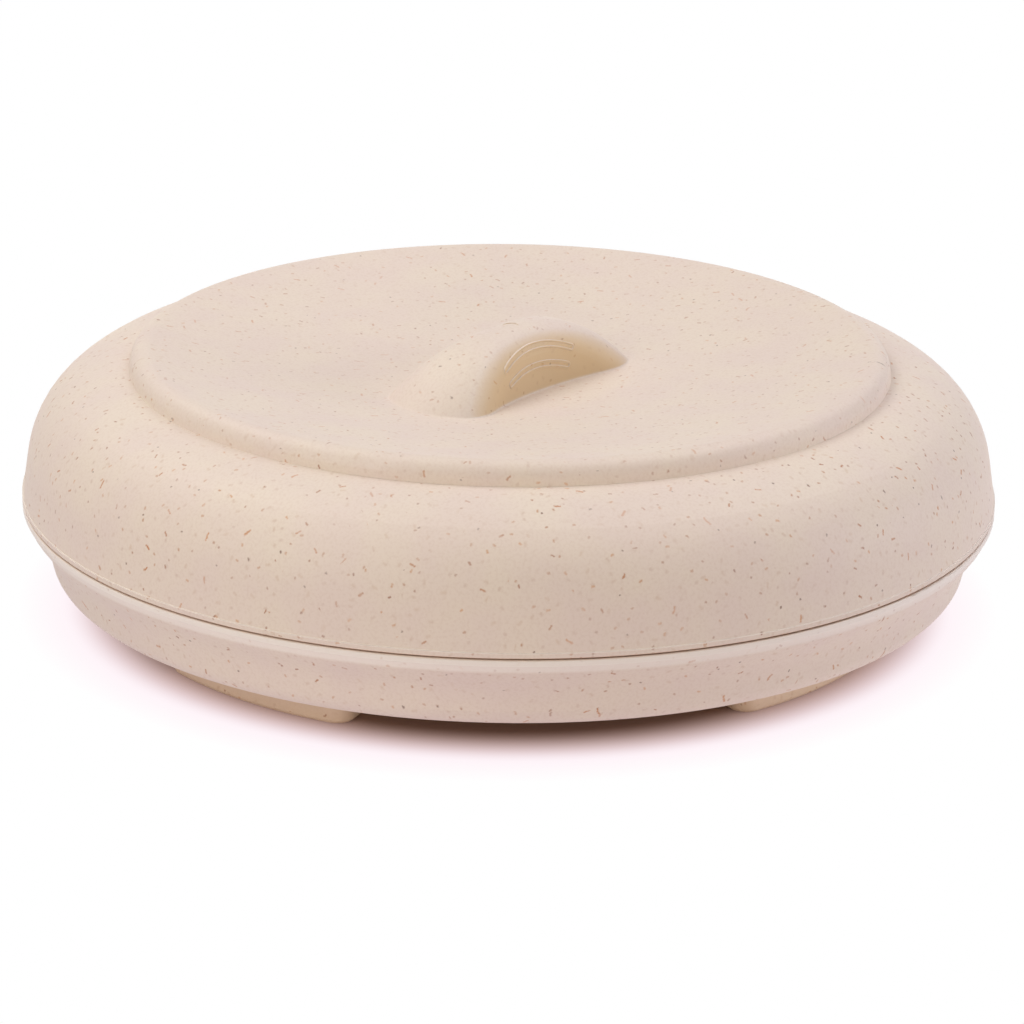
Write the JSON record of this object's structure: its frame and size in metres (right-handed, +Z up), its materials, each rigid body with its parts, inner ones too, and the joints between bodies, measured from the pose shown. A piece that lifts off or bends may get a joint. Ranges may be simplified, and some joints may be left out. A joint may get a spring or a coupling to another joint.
{
  "type": "tortilla warmer",
  "caption": "Round, low, double-walled food warmer with a puffed lift-off lid, a pinch handle in a shallow dish, and a base on short moulded feet.",
  "frame": {"origin": "on the table, under the middle of the warmer, at the height of the feet's soles", "axes": "+Z up along the axis that the warmer is turned about, +X along the handle and over one foot, +Y across the handle"},
  "size_m": [0.24, 0.24, 0.07],
  "materials": {
    "flecked_plastic": "satin",
    "liner_plastic": "satin",
    "insulating_foam": "matte"
  },
  "bodies": {
    "base": {"base_outer_shell": "flecked_plastic", "base_insulation": "insulating_foam", "base_inner_liner": "liner_plastic"},
    "lid": {"lid_outer_shell": "flecked_plastic", "lid_insulation": "insulating_foam", "lid_inner_liner": "liner_plastic"}
  },
  "joints": [
    {"name": "lid_lift", "type": "slide", "parent": "base", "child": "lid", "axis": [0, 0, 1], "range_m": [0, 0.08]}
  ]
}
